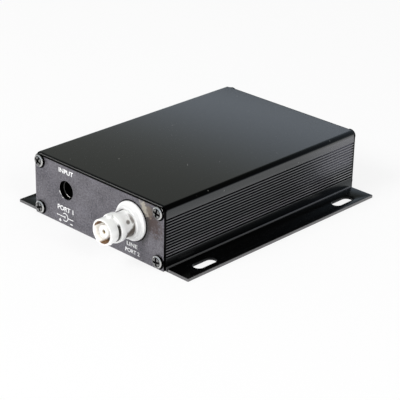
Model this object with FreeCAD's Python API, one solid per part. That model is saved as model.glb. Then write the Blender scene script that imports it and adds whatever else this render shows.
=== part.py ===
import FreeCAD, Part
import math
import os

from FreeCAD import Vector

# Ethernet extender for a coaxial line: a black extruded case with fixing ears, closed by two end plates.
# X runs to the right along the front plate, Y runs from the front to the rear, Z is up.
# The origin is the middle of the case's flat underside. Sizes are in millimetres.

# Case extrusion
case_width = 68.0
case_length = 100.6
case_wall = 1.6
case_headroom = 1.6
case_corner_radius = 1.9
ear_width = 10.7
ear_thickness = 1.1
ear_root_radius = 0.5
ear_slot_length = 10.3
ear_slot_width = 4.3
ear_slot_spacing = 74.8
ear_slot_offset = 6.1
groove_count = 14
groove_pitch = 1.085
groove_first_height = 5.3
groove_width = 0.62
groove_floor_width = 0.46
groove_depth = 0.6

# Screw ports in the four corners of the extrusion, and the pan head screws in them
port_side_inset = 2.95
port_low_height = 3.1
port_top_inset = 2.8
port_bore_radius = 1.1
port_wall = 1.3
port_mouth_width = 1.1
screw_core_clearance = 0.02
screw_hole_clearance = 0.3
screw_depth = 7.0
screw_head_radius = 2.4
screw_head_height = 1.2
screw_head_taper = 0.7

# End plates
plate_thickness = 1.0
plate_side_margin = 0.25
plate_top_margin = 0.45
plate_bottom_margin = 0.1

# Circuit board and the rails that hold its edges
board_thickness = 1.6
board_level = 6.0
board_end_gap = 0.2
board_edge_clearance = 0.2
rail_thickness = 0.9
rail_reach = 1.6
rail_clearance = 0.12
pin_clearance = 0.12
pin_tail = 1.0

# Axis of both round jacks above the board, and the clearance all round a part pressed into its seat
jack_rise = 6.6
snug_fit = 0.05

# Coaxial jack
coax_x = 17.9
coax_flange_radius = 7.3
coax_flange_thickness = 1.0
coax_boss_radius = 6.0
coax_boss_height = 2.0
coax_hole_radius = 6.3
coax_shank_radius = 4.9
coax_ring_start = 7.1
coax_ring_end = 9.4
coax_ring_radius = 5.4
coax_relief_length = 1.1
coax_relief_depth = 0.25
coax_nose_radius = 4.85
coax_nose_end = 13.9
coax_nose_wall = 0.8
coax_edge_bevel = 0.25
coax_mouth_depth = 8.6
coax_lug_radius = 1.0
coax_lug_reach = 5.6
coax_lug_setback = 3.4
coax_rear_bore = 3.15
coax_post_radius = 2.45
coax_post_setback = 0.7
coax_collar_thickness = 0.8
coax_contact_radius = 0.7
coax_contact_bore = 0.45
coax_contact_bore_depth = 4.0
coax_contact_setback = 1.2
coax_leg_radius = 0.5
coax_leg_distance = 11.2
coax_tag_thickness = 0.5
coax_tag_radius = 6.1
coax_tag_leg_width = 2.0
coax_housing_width = 14.4
coax_housing_roof = 2.1
coax_housing_depth = 13.0
coax_housing_corner = 0.4
coax_seat_depth = 6.0

# Direct current jack
dc_x = -16.6
dc_hole_radius = 3.675
dc_mouth_setback = 0.7
dc_bore_radius = 3.15
dc_bore_depth = 9.6
dc_mouth_round = 0.15
dc_frame_width = 9.0
dc_frame_depth = 3.4
dc_frame_rise = 4.5
dc_barrel_radius = 4.1
dc_body_depth = 14.0
dc_pin_radius = 1.0
dc_pin_setback = 3.0
dc_pin_tip_bevel = 0.6
dc_tab_width = 2.4
dc_tab_thickness = 0.4
dc_channel_width = 2.6
dc_channel_depth = 1.1
dc_spring_width = 2.2
dc_spring_thickness = 0.35
dc_spring_rise = 0.9

# Ethernet socket
port_x = -8.0
port_proud = 0.3
port_window_gap = 0.2
port_shield_thickness = 0.25
port_shield_gap = 0.05
port_side_wall = 1.85
port_roof_wall = 1.0
port_depth = 21.0
port_corner_radius = 0.6
plug_width = 11.9
plug_height = 6.8
plug_depth = 13.2
plug_floor = 2.3
latch_width = 6.4
latch_height = 1.7
latch_tip_width = 4.0
latch_tip_height = 1.2
comb_width = 8.6
comb_front = 1.6
comb_rear_gap = 0.8
contact_count = 8
contact_pitch = 1.02
contact_width = 0.46
contact_thickness = 0.3
contact_front = 3.0
contact_tip_depth = 10.6
contact_low = 1.2
contact_rise = 3.2
contact_leg_depth = 12.4
port_light_width = 2.5
port_light_height = 2.2
port_light_depth = 4.0
port_light_inset = 0.8
port_light_fit = 0.05

# Status light beside the ethernet socket
light_x = 12.0
light_level = 13.0
light_radius = 1.5
light_hole_clearance = 0.15
light_rim_radius = 1.9
light_rim_thickness = 1.0
light_length = 5.2
light_lens_height = 1.2
light_lens_bevel = 1.2
light_holder_width = 4.6
light_holder_depth = 5.0

# Parts on the circuit board, each placed by its centre
transformer_x = 19.0
transformer_y = -24.0
transformer_width = 13.2
transformer_length = 11.0
transformer_height = 8.4
transformer_leg = 2.6
transformer_core_depth = 5.6
transformer_gap = 0.15
bobbin_base = 1.4
bobbin_wall = 0.5
winding_thickness = 1.6
winding_end_gap = 0.05
capacitor_places = [(-23.0, -27.0), (-12.5, -27.0), (-23.0, -16.5)]
capacitor_radius = 4.0
capacitor_height = 11.0
capacitor_edge = 0.4
inductor_x = -8.0
inductor_y = -14.0
inductor_width = 10.0
inductor_height = 4.2
inductor_corner = 1.6
inductor_edge = 0.4
modem_x = 8.0
modem_y = -2.0
modem_width = 17.0
modem_height = 1.4
sink_height = 8.0
sink_base = 1.6
sink_fins = 6
sink_fin_thickness = 0.9
chip_edge = 0.15
port_chip_x = -12.0
port_chip_y = 14.0
port_chip_width = 9.0
port_chip_height = 1.0
memory_x = 24.5
memory_y = 8.0
memory_width = 5.2
memory_length = 6.4
memory_height = 1.6
crystal_x = -20.0
crystal_y = 4.0
crystal_length = 11.2
crystal_width = 4.7
crystal_height = 3.5
crystal_rim = 0.4
regulator_x = -23.0
regulator_y = -4.0
regulator_width = 6.6
regulator_length = 6.1
regulator_height = 2.3
arrester_x = 4.5
arrester_y = -29.0
arrester_radius = 2.5
arrester_length = 7.6
arrester_cap = 0.9
arrester_cap_rise = 0.25

# Lengths under this count as touching, and a bevel takes up to this share of the corner it runs round
touching = 1e-6
bevel_share = 0.6

# Places worked out from the sizes above
half_width = case_width / 2
half_length = case_length / 2
front_face = -half_length - plate_thickness
rear_face = half_length + plate_thickness
inner_half_width = half_width - case_wall
board_top = board_level + board_thickness
jack_level = board_top + jack_rise
coax_housing_height = jack_rise + coax_shank_radius + coax_housing_roof
port_width = plug_width + 2 * port_side_wall
port_height = plug_floor + plug_height + latch_height + latch_tip_height + port_roof_wall
port_shield_outer = port_shield_gap + port_shield_thickness
tallest = max(coax_housing_height, port_height + port_shield_outer)
case_height = board_top + tallest + case_headroom + case_wall
board_half_width = inner_half_width - board_edge_clearance
port_high_height = case_height - port_top_inset
port_radius = port_bore_radius + port_wall
screw_x = half_width - port_side_inset
screw_places = [(side * screw_x, z) for side in (-1, 1) for z in (port_low_height, port_high_height)]
coax_mouth_radius = coax_nose_radius - coax_nose_wall
coax_shoulder = coax_nose_end - coax_mouth_depth
coax_tag_front = -plate_thickness - snug_fit
coax_housing_front = coax_tag_front - coax_tag_thickness - snug_fit
coax_shank_end = coax_housing_front - coax_seat_depth
coax_leg_y = front_face + coax_leg_distance
coax_tag_leg_x = coax_x - coax_tag_radius + coax_tag_leg_width / 2
dc_front = front_face + plate_thickness + dc_mouth_setback
dc_rear = dc_front + dc_body_depth
dc_floor = jack_level - dc_bore_radius - dc_channel_depth
dc_tab_y = dc_rear + dc_tab_thickness / 2
dc_spring_leg_y = dc_front + dc_bore_depth - dc_spring_thickness
port_front = rear_face + port_proud
port_floor = board_top + plug_floor
port_roof = port_floor + plug_height
port_leg_y = port_front - contact_leg_depth


# Flat faces and plain solids

def on_front(y):
    # u to the right, v up, at the distance y along the case
    return lambda u, v: Vector(u, y, v)


def on_side(x):
    # u to the rear, v up, at the distance x across the case
    return lambda u, v: Vector(x, u, v)


def on_floor(z):
    # u to the right, v to the rear, at the height z
    return lambda u, v: Vector(u, v, z)


def outline_face(corners, place, bevelled=False):
    # corners are (u, v) or (u, v, radius), in order round the outline, and a bevel takes an arc's place
    ends = []
    arcs = []
    count = len(corners)
    for index, corner in enumerate(corners):
        here = Vector(corner[0], corner[1], 0)
        radius = corner[2] if len(corner) > 2 else 0
        before = Vector(*corners[index - 1][:2], 0) - here
        after = Vector(*corners[(index + 1) % count][:2], 0) - here
        before.normalize()
        after.normalize()
        if radius == 0:
            ends.append((here, here))
            arcs.append(None)
            continue
        half_angle = before.getAngle(after) / 2
        reach = radius / math.tan(half_angle)
        bisector = before + after
        bisector.normalize()
        middle = here + bisector * (radius / math.sin(half_angle) - radius)
        ends.append((here + before * reach, here + after * reach))
        arcs.append(middle)
    edges = []
    for index in range(count):
        start, stop = ends[index]
        if arcs[index] is not None and bevelled:
            edges.append(Part.LineSegment(place(start.x, start.y), place(stop.x, stop.y)).toShape())
        elif arcs[index] is not None:
            points = [place(p.x, p.y) for p in (start, arcs[index], stop)]
            edges.append(Part.Arc(*points).toShape())
        follower = ends[(index + 1) % count][0]
        if (follower - stop).Length > touching:
            edges.append(Part.LineSegment(place(stop.x, stop.y), place(follower.x, follower.y)).toShape())
    return Part.Face(Part.Wire(edges))


def rectangle(u_low, v_low, u_high, v_high, place, radius=0):
    corners = [
        (u_low, v_low, radius), (u_high, v_low, radius),
        (u_high, v_high, radius), (u_low, v_high, radius)]
    return outline_face(corners, place)


def disc(u, v, radius, place):
    normal = (place(1, 0) - place(0, 0)).cross(place(0, 1) - place(0, 0))
    return Part.Face(Part.Wire(Part.Circle(place(u, v), normal, radius).toShape()))


def along_y(face, length):
    return face.extrude(Vector(0, length, 0))


def along_z(face, height):
    return face.extrude(Vector(0, 0, height))


def across_x(face, width):
    # the face lies in the middle of the width
    moved = face.translated(Vector(-width / 2, 0, 0))
    return moved.extrude(Vector(width, 0, 0))


def turned(profile, x, z, start, outward):
    # profile corners are (distance out from start, radius, bevel), turned about the axis through x and z
    corners = [(start + outward * corner[0],) + (z + corner[1],) + tuple(corner[2:]) for corner in profile]
    face = outline_face(corners, on_side(x), bevelled=True)
    return face.revolve(Vector(x, 0, z), Vector(0, 1, 0), 360)


def turned_up(profile, x, y, start):
    # profile corners are (radius, height above start, bevel), turned about the upright axis through x and y
    corners = [(x + corner[0],) + (start + corner[1],) + tuple(corner[2:]) for corner in profile]
    face = outline_face(corners, on_front(y), bevelled=True)
    return face.revolve(Vector(x, y, 0), Vector(0, 0, 1), 360)


def block(x, y, width, length, height, start, radius=0, edge=0):
    # a block that stands on start, with its upright corners rounded and its top edge bevelled
    face = rectangle(x - width / 2, y - length / 2, x + width / 2, y + length / 2, on_floor(start), radius)
    body = along_z(face, height)
    if edge == 0:
        return body
    top = start + height
    rim = [e for e in body.Edges if min(v.Z for v in e.Vertexes) > top - touching]
    return body.makeChamfer(edge if radius == 0 else min(edge, radius * bevel_share), rim)


def bent_strip(points, thickness, x, width):
    # a wire or strip bent in the plane of Y and Z, with both its sides mitred at each bend
    turns = []
    for (y_start, z_start), (y_stop, z_stop) in zip(points, points[1:]):
        run = math.hypot(y_stop - y_start, z_stop - z_start)
        turns.append(Vector(-(z_stop - z_start) / run, (y_stop - y_start) / run, 0))
    near = []
    far = []
    for index, (y, z) in enumerate(points):
        before = turns[max(index - 1, 0)]
        after = turns[min(index, len(turns) - 1)]
        offset = (before + after) * (thickness / 2 / (1 + before.dot(after)))
        near.append((y - offset.x, z - offset.y))
        far.append((y + offset.x, z + offset.y))
    return across_x(outline_face(near + far[::-1], on_side(x)), width)


def joined(shapes):
    return shapes[0].fuse(shapes[1:]).removeSplitter()


# Case extrusion

def case_outline():
    ear_edge = half_width + ear_width
    corners = [
        (-ear_edge, 0), (ear_edge, 0), (ear_edge, ear_thickness),
        (half_width, ear_thickness, ear_root_radius),
        (half_width, case_height, case_corner_radius),
        (-half_width, case_height, case_corner_radius),
        (-half_width, ear_thickness, ear_root_radius),
        (-ear_edge, ear_thickness)]
    return outline_face(corners, on_front(-half_length))


def side_grooves():
    grooves = []
    for side in (-1, 1):
        wall_face = side * half_width
        floor = side * (half_width - groove_depth)
        for index in range(groove_count):
            middle = groove_first_height + index * groove_pitch
            grooves.append(outline_face([
                (wall_face, middle - groove_width / 2),
                (floor, middle - groove_floor_width / 2),
                (floor, middle + groove_floor_width / 2),
                (wall_face, middle + groove_width / 2)], on_front(-half_length)))
    return grooves


def board_rails():
    rails = []
    low_top = board_level - rail_clearance
    high_bottom = board_top + rail_clearance
    for side in (-1, 1):
        near, far = sorted((side * inner_half_width, side * (inner_half_width - rail_reach)))
        for bottom in (low_top - rail_thickness, high_bottom):
            rails.append(rectangle(near, bottom, far, bottom + rail_thickness, on_front(-half_length)))
    return rails


def screw_port_faces():
    cavity = rectangle(-inner_half_width, case_wall, inner_half_width, case_height - case_wall,
                       on_front(-half_length))
    rings = [disc(x, z, port_radius, on_front(-half_length)).common(cavity) for x, z in screw_places]
    bores = [disc(x, z, port_bore_radius, on_front(-half_length)) for x, z in screw_places]
    mouths = []
    for x, z in screw_places:
        inward = x - math.copysign(port_radius + port_wall, x)
        near, far = sorted((x, inward))
        mouths.append(rectangle(near, z - port_mouth_width / 2, far, z + port_mouth_width / 2,
                                on_front(-half_length)))
    return cavity, rings, bores + mouths


def ear_slot(x, y):
    half = ear_slot_length / 2
    side = ear_slot_width / 2
    face = rectangle(x - side, y - half, x + side, y + half, on_floor(-ear_thickness), side)
    return along_z(face, 3 * ear_thickness)


def case_extrusion():
    cavity, rings, openings = screw_port_faces()
    section = case_outline().cut(side_grooves() + [cavity])
    section = joined([section] + rings + board_rails()).cut(openings)
    body = along_y(section.Faces[0], case_length)
    slots = []
    for side in (-1, 1):
        for end in (-1, 1):
            slots.append(ear_slot(side * (half_width + ear_slot_offset), end * ear_slot_spacing / 2))
    return body.cut(slots)


# End plates

def plate_blank(y):
    edge = half_width - plate_side_margin
    top = case_height - plate_top_margin
    corners = [
        (-edge, plate_bottom_margin), (edge, plate_bottom_margin),
        (edge, top, case_corner_radius), (-edge, top, case_corner_radius)]
    body = along_y(outline_face(corners, on_front(y)), plate_thickness)
    radius = port_bore_radius + screw_hole_clearance
    holes = [along_y(disc(x, z, radius, on_front(y)), plate_thickness) for x, z in screw_places]
    return body.cut(holes)


def front_plate():
    holes = []
    for x, radius in ((coax_x, coax_hole_radius), (dc_x, dc_hole_radius)):
        holes.append(along_y(disc(x, jack_level, radius, on_front(front_face)), plate_thickness))
    return plate_blank(front_face).cut(holes)


def rear_plate():
    gap = port_shield_outer + port_window_gap
    side = port_width / 2 + gap
    window = rectangle(port_x - side, board_top - gap, port_x + side, board_top + port_height + gap,
                       on_front(half_length), port_corner_radius)
    light_hole = disc(light_x, light_level, light_radius + light_hole_clearance, on_front(half_length))
    holes = [along_y(window, plate_thickness), along_y(light_hole, plate_thickness)]
    return plate_blank(half_length).cut(holes)


# Pan head screws, each a core in its port and a head that narrows towards its crown

def screw(x, z, start, outward):
    core = port_bore_radius - screw_core_clearance
    return turned([
        (-screw_depth, 0), (-screw_depth, core), (0, core), (0, screw_head_radius),
        (screw_head_height, screw_head_radius - screw_head_taper), (screw_head_height, 0)],
        x, z, start, outward)


def screws(start, outward):
    return Part.makeCompound([screw(x, z, start, outward) for x, z in screw_places])


# Coaxial jack, turned about the axis that runs forward from the front plate

def coax_turned(profile):
    return turned(profile, coax_x, jack_level, front_face, -1)


def coax_insulator():
    bore = coax_shank_radius + snug_fit
    boss_end = coax_flange_thickness + coax_boss_height
    spigot = coax_hole_radius - snug_fit
    return coax_turned([
        (-plate_thickness, bore), (-plate_thickness, spigot), (0, spigot),
        (0, coax_flange_radius), (coax_flange_thickness, coax_flange_radius),
        (coax_flange_thickness, coax_boss_radius), (boss_end, coax_boss_radius), (boss_end, bore)])


def coax_shell():
    # a shank, a ring, a shallow relief in front of the ring, and the nose that the plug slides over
    relief_end = coax_ring_end + coax_relief_length
    relief_radius = coax_nose_radius - coax_relief_depth
    body = coax_turned([
        (coax_shank_end, coax_rear_bore), (coax_shank_end, coax_shank_radius),
        (coax_ring_start, coax_shank_radius), (coax_ring_start, coax_ring_radius),
        (coax_ring_end, coax_ring_radius), (coax_ring_end, relief_radius),
        (relief_end, relief_radius), (relief_end, coax_nose_radius),
        (coax_nose_end, coax_nose_radius, coax_edge_bevel), (coax_nose_end, coax_mouth_radius),
        (coax_shoulder, coax_mouth_radius), (coax_shoulder, coax_rear_bore)])
    lug_y = front_face - coax_nose_end + coax_lug_setback
    root = coax_nose_radius - coax_nose_wall / 2
    lugs = []
    for side in (-1, 1):
        start = Vector(coax_x, lug_y, jack_level + side * root)
        lugs.append(Part.makeCylinder(coax_lug_radius, coax_lug_reach - root, start, Vector(0, 0, side)))
    return joined([body] + lugs)


def coax_dielectric():
    collar = coax_mouth_radius - snug_fit
    shank = coax_rear_bore - snug_fit
    bore = coax_contact_radius + snug_fit
    collar_end = coax_shoulder + coax_collar_thickness
    post_end = coax_nose_end - coax_post_setback
    return coax_turned([
        (coax_shank_end, bore), (coax_shank_end, shank), (coax_shoulder, shank), (coax_shoulder, collar),
        (collar_end, collar), (collar_end, coax_post_radius), (post_end, coax_post_radius),
        (post_end, bore)])


def coax_contact():
    # a sleeve that takes the plug's pin, and a leg down through the board near its rear end
    tip = coax_nose_end - coax_contact_setback
    rear = -coax_leg_distance - coax_contact_radius
    sleeve = coax_turned([
        (rear, 0), (rear, coax_contact_radius), (tip, coax_contact_radius),
        (tip, coax_contact_bore), (tip - coax_contact_bore_depth, coax_contact_bore),
        (tip - coax_contact_bore_depth, 0)])
    low = board_level - pin_tail
    leg = along_z(disc(coax_x, coax_leg_y, coax_leg_radius, on_floor(low)), jack_level - low)
    return joined([sleeve, leg])


def coax_ground_tag():
    y = front_face - coax_tag_front
    ring = disc(coax_x, jack_level, coax_tag_radius, on_front(y))
    half = coax_tag_leg_width / 2
    leg = rectangle(coax_tag_leg_x - half, board_level - pin_tail, coax_tag_leg_x + half, jack_level,
                    on_front(y))
    hole = disc(coax_x, jack_level, coax_shank_radius + snug_fit, on_front(y))
    return along_y(joined([ring, leg]).cut(hole), coax_tag_thickness)


def coax_housing():
    front = front_face - coax_housing_front
    body = block(coax_x, front + coax_housing_depth / 2, coax_housing_width, coax_housing_depth,
                 coax_housing_height, board_top, edge=coax_housing_corner)
    seat = along_y(disc(coax_x, jack_level, coax_shank_radius + snug_fit, on_front(front)), coax_seat_depth)
    chamber = along_y(
        rectangle(coax_x - coax_rear_bore, board_top, coax_x + coax_rear_bore, jack_level + coax_rear_bore,
                  on_front(front + coax_seat_depth)),
        coax_housing_depth - coax_seat_depth)
    return body.cut([seat, chamber])


# Direct current jack

def dc_jack_housing():
    half_frame = dc_frame_width / 2
    top = jack_level + dc_frame_rise
    frame = along_y(rectangle(dc_x - half_frame, board_top, dc_x + half_frame, top, on_front(dc_front)),
                    dc_frame_depth)
    barrel = along_y(disc(dc_x, jack_level, dc_barrel_radius, on_front(dc_front)), dc_body_depth)
    base = along_y(rectangle(dc_x - dc_barrel_radius, board_top, dc_x + dc_barrel_radius, jack_level,
                             on_front(dc_front)), dc_body_depth)
    bore = turned([
        (0, 0), (0, dc_bore_radius + dc_mouth_round), (dc_mouth_round, dc_bore_radius),
        (dc_bore_depth, dc_bore_radius), (dc_bore_depth, 0)], dc_x, jack_level, dc_front, 1)
    pin_hole = along_y(disc(dc_x, jack_level, dc_pin_radius + snug_fit, on_front(dc_front + dc_bore_depth)),
                       dc_body_depth - dc_bore_depth)
    half_channel = dc_channel_width / 2
    channel = along_y(rectangle(dc_x - half_channel, dc_floor, dc_x + half_channel, jack_level,
                                on_front(dc_front + dc_frame_depth)), dc_bore_depth - dc_frame_depth)
    well_rear = dc_front + dc_bore_depth
    well_front = dc_spring_leg_y - dc_spring_thickness / 2 - pin_clearance
    well = along_z(rectangle(dc_x - half_channel, well_front, dc_x + half_channel, well_rear,
                             on_floor(board_top)), dc_floor - board_top)
    return joined([frame, barrel, base]).cut([bore, pin_hole, channel, well])


def dc_jack_pin():
    tip = dc_front + dc_pin_setback
    length = dc_rear - tip
    pin = turned([(0, 0), (0, dc_pin_radius, dc_pin_tip_bevel), (length, dc_pin_radius), (length, 0)],
                 dc_x, jack_level, tip, 1)
    half = dc_tab_width / 2
    tab = along_y(rectangle(dc_x - half, board_level - pin_tail, dc_x + half, jack_level + half,
                            on_front(dc_rear)), dc_tab_thickness)
    return joined([pin, tab])


def dc_jack_spring():
    low = dc_floor + dc_spring_thickness / 2
    front = dc_front + dc_frame_depth + dc_spring_thickness
    crest = (front + dc_spring_leg_y) / 2
    points = [
        (front, low), (crest, low + dc_spring_rise), (dc_spring_leg_y, low),
        (dc_spring_leg_y, board_level - pin_tail)]
    return bent_strip(points, dc_spring_thickness, dc_x, dc_spring_width)


# Ethernet socket

def port_shield():
    inner = port_shield_gap
    outer = port_shield_outer
    side = port_width / 2
    sleeve = outline_face([
        (port_x - side - outer, board_top), (port_x - side - inner, board_top),
        (port_x - side - inner, board_top + port_height + inner, port_corner_radius),
        (port_x + side + inner, board_top + port_height + inner, port_corner_radius),
        (port_x + side + inner, board_top), (port_x + side + outer, board_top),
        (port_x + side + outer, board_top + port_height + outer, port_corner_radius + port_shield_thickness),
        (port_x - side - outer, board_top + port_height + outer, port_corner_radius + port_shield_thickness)],
        on_front(port_front - port_depth))
    return along_y(sleeve, port_depth)


def plug_cavity_face(y):
    half = plug_width / 2
    latch = latch_width / 2
    tip = latch_tip_width / 2
    middle = port_roof + latch_height
    top = middle + latch_tip_height
    return outline_face([
        (port_x - half, port_floor), (port_x + half, port_floor), (port_x + half, port_roof),
        (port_x + latch, port_roof), (port_x + latch, middle), (port_x + tip, middle), (port_x + tip, top),
        (port_x - tip, top), (port_x - tip, middle), (port_x - latch, middle), (port_x - latch, port_roof),
        (port_x - half, port_roof)], on_front(y))


def port_light_places():
    offset = port_width / 2 - port_light_inset - port_light_width / 2
    level = board_top + port_height - port_light_inset - port_light_height / 2
    return [(port_x + side * offset, level) for side in (-1, 1)]


def port_light_face(x, z, grow, y):
    half_u = port_light_width / 2 + grow
    half_v = port_light_height / 2 + grow
    return rectangle(x - half_u, z - half_v, x + half_u, z + half_v, on_front(y))


def ethernet_housing():
    side = port_width / 2
    rear = port_front - port_depth
    body = along_y(rectangle(port_x - side, board_top, port_x + side, board_top + port_height,
                             on_front(rear)), port_depth)
    upper = [e for e in body.Edges
             if e.BoundBox.ZMin > board_top + port_height - touching and e.BoundBox.YLength > port_depth / 2]
    body = body.makeFillet(port_corner_radius, upper)
    cavity = along_y(plug_cavity_face(port_front - plug_depth), plug_depth)
    comb = rectangle(port_x - comb_width / 2, port_leg_y - comb_rear_gap, port_x + comb_width / 2,
                     port_front - comb_front, on_floor(board_top))
    cuts = [cavity, along_z(comb, plug_floor)]
    for x, z in port_light_places():
        start = port_front - port_light_depth
        cuts.append(along_y(port_light_face(x, z, port_light_fit, start), port_light_depth))
    return body.cut(cuts)


def ethernet_contacts():
    first = port_x - (contact_count - 1) / 2 * contact_pitch
    low = board_top + contact_low
    points = [
        (port_leg_y, board_level - pin_tail), (port_leg_y, low), (port_front - contact_front, low),
        (port_front - contact_tip_depth, low + contact_rise)]
    wire = bent_strip(points, contact_thickness, first, contact_width)
    return Part.makeCompound([wire.translated(Vector(index * contact_pitch, 0, 0))
                              for index in range(contact_count)])


def ethernet_lights():
    start = port_front - port_light_depth
    return Part.makeCompound([along_y(port_light_face(x, z, 0, start), port_light_depth)
                              for x, z in port_light_places()])


# Status light and its holder

def status_light():
    rim_start = half_length - light_hole_clearance
    lens_end = light_hole_clearance + plate_thickness + light_lens_height
    return turned([
        (-light_length, 0), (-light_length, light_rim_radius),
        (-light_length + light_rim_thickness, light_rim_radius),
        (-light_length + light_rim_thickness, light_radius),
        (lens_end, light_radius, light_lens_bevel), (lens_end, 0)], light_x, light_level, rim_start, 1)


def light_holder():
    rear = half_length - light_hole_clearance - light_length + light_rim_thickness
    wall = light_holder_width / 2 - light_rim_radius
    height = light_level + light_rim_radius + wall - board_top
    body = block(light_x, rear - light_holder_depth / 2, light_holder_width, light_holder_depth, height,
                 board_top, edge=wall / 2)
    pocket = disc(light_x, light_level, light_rim_radius + snug_fit, on_front(rear - light_rim_thickness))
    return body.cut(along_y(pocket, light_rim_thickness))


# Circuit board with holes for every pin that goes through it

def circuit_board():
    board = along_z(
        rectangle(-board_half_width, -half_length + board_end_gap, board_half_width,
                  half_length - board_end_gap, on_floor(board_level)), board_thickness)
    port_first = port_x - (contact_count - 1) / 2 * contact_pitch
    round_holes = [(coax_x, coax_leg_y, coax_leg_radius + pin_clearance)]
    slots = [
        (coax_tag_leg_x, front_face - coax_tag_front + coax_tag_thickness / 2,
         coax_tag_leg_width, coax_tag_thickness),
        (dc_x, dc_tab_y, dc_tab_width, dc_tab_thickness),
        (dc_x, dc_spring_leg_y, dc_spring_width, dc_spring_thickness)]
    for index in range(contact_count):
        slots.append((port_first + index * contact_pitch, port_leg_y, contact_width, contact_thickness))
    holes = []
    for x, y, radius in round_holes:
        holes.append(along_z(disc(x, y, radius, on_floor(board_level)), board_thickness))
    for x, y, width, length in slots:
        half_u = width / 2 + pin_clearance
        half_v = length / 2 + pin_clearance
        face = rectangle(x - half_u, y - half_v, x + half_u, y + half_v, on_floor(board_level))
        holes.append(along_z(face, board_thickness))
    return board.cut(holes)


# Line transformer: a ferrite core round a wound bobbin

def transformer_core():
    base = board_top + bobbin_base + transformer_gap
    height = transformer_height - bobbin_base
    half = transformer_width / 2
    depth = transformer_core_depth
    place = on_front(transformer_y - depth / 2)
    outer = rectangle(transformer_x - half, base, transformer_x + half, base + height, place)
    window_top = base + height - transformer_leg / 2
    window_bottom = base + transformer_leg / 2
    windows = []
    for side in (-1, 1):
        near, far = sorted((side * transformer_leg, side * (half - transformer_leg / 2)))
        windows.append(rectangle(transformer_x + near, window_bottom, transformer_x + far, window_top, place))
    return along_y(outer.cut(windows), depth)


def transformer_window():
    base = board_top + bobbin_base + transformer_gap
    low = base + transformer_leg / 2 + transformer_gap
    high = base + transformer_height - bobbin_base - transformer_leg / 2 - transformer_gap
    return low, high


def ring_round_leg(inner, outer, low, high, rounded):
    half_depth = transformer_core_depth / 2
    faces = []
    for grow in (outer, inner):
        half_u = transformer_leg + grow
        half_v = half_depth + grow
        faces.append(rectangle(transformer_x - half_u, transformer_y - half_v, transformer_x + half_u,
                               transformer_y + half_v, on_floor(low), grow if rounded else 0))
    return along_z(faces[0].cut(faces[1]), high - low)


def transformer_bobbin():
    low, high = transformer_window()
    foot = block(transformer_x, transformer_y, transformer_width, transformer_length, bobbin_base, board_top,
                 edge=bobbin_wall / 2)
    tube = ring_round_leg(transformer_gap, transformer_gap + bobbin_wall, low, high, True)
    reach = transformer_gap + bobbin_wall + winding_thickness
    flanges = [ring_round_leg(transformer_gap, reach, low, low + bobbin_wall, False),
               ring_round_leg(transformer_gap, reach, high - bobbin_wall, high, False)]
    posts = []
    half_v = transformer_core_depth / 2 + transformer_gap
    for side in (-1, 1):
        near, far = sorted((side * half_v, side * (half_v + bobbin_wall)))
        face = rectangle(transformer_x - transformer_leg, transformer_y + near,
                         transformer_x + transformer_leg, transformer_y + far, on_floor(board_top))
        posts.append(along_z(face, low + bobbin_wall - board_top))
    return joined([foot, tube] + flanges + posts)


def transformer_winding():
    low, high = transformer_window()
    inner = 2 * transformer_gap + bobbin_wall
    outer = bobbin_wall + winding_thickness
    return ring_round_leg(inner, outer, low + bobbin_wall + winding_end_gap,
                          high - bobbin_wall - winding_end_gap, True)


# Smaller parts on the board

def capacitors():
    profile = [
        (0, 0), (capacitor_radius, 0), (capacitor_radius, capacitor_height, capacitor_edge),
        (0, capacitor_height)]
    return Part.makeCompound([turned_up(profile, x, y, board_top) for x, y in capacitor_places])


def power_inductor():
    return block(inductor_x, inductor_y, inductor_width, inductor_width, inductor_height, board_top,
                 inductor_corner, inductor_edge)


def modem_chip():
    return block(modem_x, modem_y, modem_width, modem_width, modem_height, board_top, edge=chip_edge)


def heat_sink():
    start = board_top + modem_height
    body = block(modem_x, modem_y, modem_width, modem_width, sink_height, start)
    pitch = (modem_width - sink_fin_thickness) / (sink_fins - 1)
    gap = pitch - sink_fin_thickness
    cuts = []
    for index in range(sink_fins - 1):
        low = modem_x - modem_width / 2 + sink_fin_thickness + index * pitch
        face = rectangle(low, modem_y - modem_width / 2, low + gap, modem_y + modem_width / 2,
                         on_floor(start + sink_base))
        cuts.append(along_z(face, sink_height - sink_base))
    return body.cut(cuts)


def port_chip():
    return block(port_chip_x, port_chip_y, port_chip_width, port_chip_width, port_chip_height, board_top,
                 edge=chip_edge)


def memory_chip():
    return block(memory_x, memory_y, memory_width, memory_length, memory_height, board_top, edge=chip_edge)


def crystal():
    rim = block(crystal_x, crystal_y, crystal_length, crystal_width, crystal_rim, board_top,
                crystal_width / 2)
    can_length = crystal_length - 2 * crystal_rim
    can_width = crystal_width - 2 * crystal_rim
    can = block(crystal_x, crystal_y, can_length, can_width, crystal_height, board_top, can_width / 2,
                crystal_rim)
    return joined([rim, can])


def regulator():
    return block(regulator_x, regulator_y, regulator_width, regulator_length, regulator_height, board_top,
                 edge=chip_edge)


def surge_arrester():
    level = board_top + arrester_radius + arrester_cap_rise
    cap = arrester_radius + arrester_cap_rise
    start = arrester_y - arrester_length / 2
    end = arrester_length - arrester_cap
    return turned([
        (0, 0), (0, cap), (arrester_cap, cap), (arrester_cap, arrester_radius), (end, arrester_radius),
        (end, cap), (arrester_length, cap), (arrester_length, 0)], arrester_x, level, start, 1)


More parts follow.
